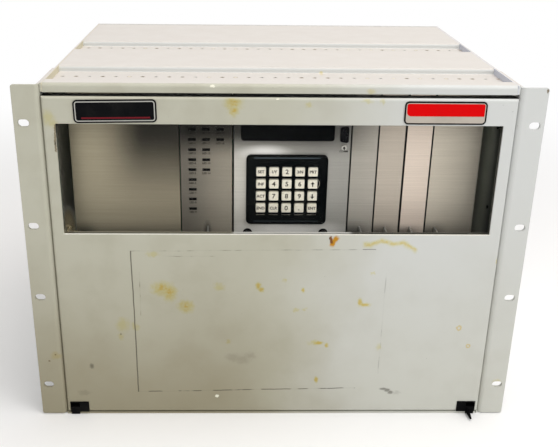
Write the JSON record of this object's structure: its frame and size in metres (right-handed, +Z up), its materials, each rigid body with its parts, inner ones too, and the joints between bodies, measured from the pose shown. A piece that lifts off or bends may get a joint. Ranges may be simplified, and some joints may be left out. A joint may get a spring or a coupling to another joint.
{
  "type": "protection relay",
  "caption": "Rack-mount protection relay: grey folded case with slotted brackets, top-hinged glazed cover with spring latches, keypad module behind the glass and rear terminal blocks.",
  "frame": {"origin": "bottom centre of the bounding box, on the surface that the case stands on", "axes": "+X to the right seen from the front, +Y from the front to the rear, +Z up"},
  "size_m": [0.4826, 0.36, 0.352],
  "materials": {
    "painted_case": "light grey paint, satin",
    "painted_cover": "light grey paint, satin, stained",
    "brushed_plate": "brushed",
    "zinc": "zinc plated",
    "black_plastic": "black, moulded",
    "display": "dark filter, glossy",
    "block_plastic": "black, moulded",
    "board": "green laminate",
    "guide_plastic": "natural nylon",
    "core": "varnished laminations",
    "heatsink": "black anodised",
    "glass": "clear plate",
    "badge_black": "black with a bright border",
    "badge_red": "red field over a pale strip",
    "key_cream": "cream, moulded"
  },
  "bodies": {
    "case": {"top_plate": "painted_case", "bottom_plate": "painted_case", "left_side_plate": "painted_case", "right_side_plate": "painted_case", "left_rack_bracket": "painted_case", "right_rack_bracket": "painted_case", "rear_cover": "painted_case", "magnetics_plate": "brushed_plate", "target_plate": "brushed_plate", "keypad_plate": "brushed_plate", "signal_plate_1": "brushed_plate", "signal_plate_2": "brushed_plate", "signal_plate_3": "brushed_plate", "power_plate": "brushed_plate", "module_pulls": "brushed_plate", "case_screws": "zinc", "terminal_screws": "zinc", "hinge_pins": "zinc", "serial_ports": "zinc", "keypad_frame": "black_plastic", "module_knobs": "black_plastic", "front_port": "black_plastic", "target_lamps": "black_plastic", "display_window": "display", "terminal_blocks": "block_plastic", "backplane_board": "board", "module_boards": "board", "keypad_switch_board": "board", "card_guides": "guide_plastic", "backplane_sockets": "guide_plastic", "input_transformers": "core", "power_heatsink": "heatsink"},
    "cover": {"front_cover": "painted_cover", "window_pane": "glass", "window_retainer": "zinc", "left_badge": "badge_black", "right_badge": "badge_red", "latch_housings": "black_plastic"},
    "left_bolt": {"left_latch_bolt": "black_plastic"},
    "right_bolt": {"right_latch_bolt": "black_plastic"},
    "set_key": {"key_set": "key_cream"},
    "1_key": {"key_1": "key_cream"},
    "2_key": {"key_2": "key_cream"},
    "3_key": {"key_3": "key_cream"},
    "print_key": {"key_print": "key_cream"},
    "info_key": {"key_info": "key_cream"},
    "4_key": {"key_4": "key_cream"},
    "5_key": {"key_5": "key_cream"},
    "6_key": {"key_6": "key_cream"},
    "up_key": {"key_up": "key_cream"},
    "act_key": {"key_act": "key_cream"},
    "7_key": {"key_7": "key_cream"},
    "8_key": {"key_8": "key_cream"},
    "9_key": {"key_9": "key_cream"},
    "down_key": {"key_down": "key_cream"},
    "end_key": {"key_end": "key_cream"},
    "clear_key": {"key_clear": "key_cream"},
    "0_key": {"key_0": "key_cream"},
    "point_key": {"key_point": "key_cream"},
    "enter_key": {"key_enter": "key_cream"}
  },
  "joints": [
    {"name": "cover_hinge", "type": "hinge", "parent": "case", "child": "cover", "pos_m": [0, -0.159, 0.3326], "axis": [-1, 0, 0], "range_deg": [0, 100]},
    {"name": "left_latch_slide", "type": "slide", "parent": "cover", "child": "left_bolt", "axis": [0, 0, 1], "range_m": [0, 0.005], "stiffness_N_per_m": 200},
    {"name": "right_latch_slide", "type": "slide", "parent": "cover", "child": "right_bolt", "axis": [0, 0, 1], "range_m": [0, 0.005], "stiffness_N_per_m": 200},
    {"name": "key_set_press", "type": "slide", "parent": "case", "child": "set_key", "axis": [0, 1, 0], "range_m": [0, 0.0014], "stiffness_N_per_m": 250},
    {"name": "key_1_press", "type": "slide", "parent": "case", "child": "1_key", "axis": [0, 1, 0], "range_m": [0, 0.0014], "stiffness_N_per_m": 250},
    {"name": "key_2_press", "type": "slide", "parent": "case", "child": "2_key", "axis": [0, 1, 0], "range_m": [0, 0.0014], "stiffness_N_per_m": 250},
    {"name": "key_3_press", "type": "slide", "parent": "case", "child": "3_key", "axis": [0, 1, 0], "range_m": [0, 0.0014], "stiffness_N_per_m": 250},
    {"name": "key_print_press", "type": "slide", "parent": "case", "child": "print_key", "axis": [0, 1, 0], "range_m": [0, 0.0014], "stiffness_N_per_m": 250},
    {"name": "key_info_press", "type": "slide", "parent": "case", "child": "info_key", "axis": [0, 1, 0], "range_m": [0, 0.0014], "stiffness_N_per_m": 250},
    {"name": "key_4_press", "type": "slide", "parent": "case", "child": "4_key", "axis": [0, 1, 0], "range_m": [0, 0.0014], "stiffness_N_per_m": 250},
    {"name": "key_5_press", "type": "slide", "parent": "case", "child": "5_key", "axis": [0, 1, 0], "range_m": [0, 0.0014], "stiffness_N_per_m": 250},
    {"name": "key_6_press", "type": "slide", "parent": "case", "child": "6_key", "axis": [0, 1, 0], "range_m": [0, 0.0014], "stiffness_N_per_m": 250},
    {"name": "key_up_press", "type": "slide", "parent": "case", "child": "up_key", "axis": [0, 1, 0], "range_m": [0, 0.0014], "stiffness_N_per_m": 250},
    {"name": "key_act_press", "type": "slide", "parent": "case", "child": "act_key", "axis": [0, 1, 0], "range_m": [0, 0.0014], "stiffness_N_per_m": 250},
    {"name": "key_7_press", "type": "slide", "parent": "case", "child": "7_key", "axis": [0, 1, 0], "range_m": [0, 0.0014], "stiffness_N_per_m": 250},
    {"name": "key_8_press", "type": "slide", "parent": "case", "child": "8_key", "axis": [0, 1, 0], "range_m": [0, 0.0014], "stiffness_N_per_m": 250},
    {"name": "key_9_press", "type": "slide", "parent": "case", "child": "9_key", "axis": [0, 1, 0], "range_m": [0, 0.0014], "stiffness_N_per_m": 250},
    {"name": "key_down_press", "type": "slide", "parent": "case", "child": "down_key", "axis": [0, 1, 0], "range_m": [0, 0.0014], "stiffness_N_per_m": 250},
    {"name": "key_end_press", "type": "slide", "parent": "case", "child": "end_key", "axis": [0, 1, 0], "range_m": [0, 0.0014], "stiffness_N_per_m": 250},
    {"name": "key_clear_press", "type": "slide", "parent": "case", "child": "clear_key", "axis": [0, 1, 0], "range_m": [0, 0.0014], "stiffness_N_per_m": 250},
    {"name": "key_0_press", "type": "slide", "parent": "case", "child": "0_key", "axis": [0, 1, 0], "range_m": [0, 0.0014], "stiffness_N_per_m": 250},
    {"name": "key_point_press", "type": "slide", "parent": "case", "child": "point_key", "axis": [0, 1, 0], "range_m": [0, 0.0014], "stiffness_N_per_m": 250},
    {"name": "key_enter_press", "type": "slide", "parent": "case", "child": "enter_key", "axis": [0, 1, 0], "range_m": [0, 0.0014], "stiffness_N_per_m": 250}
  ]
}
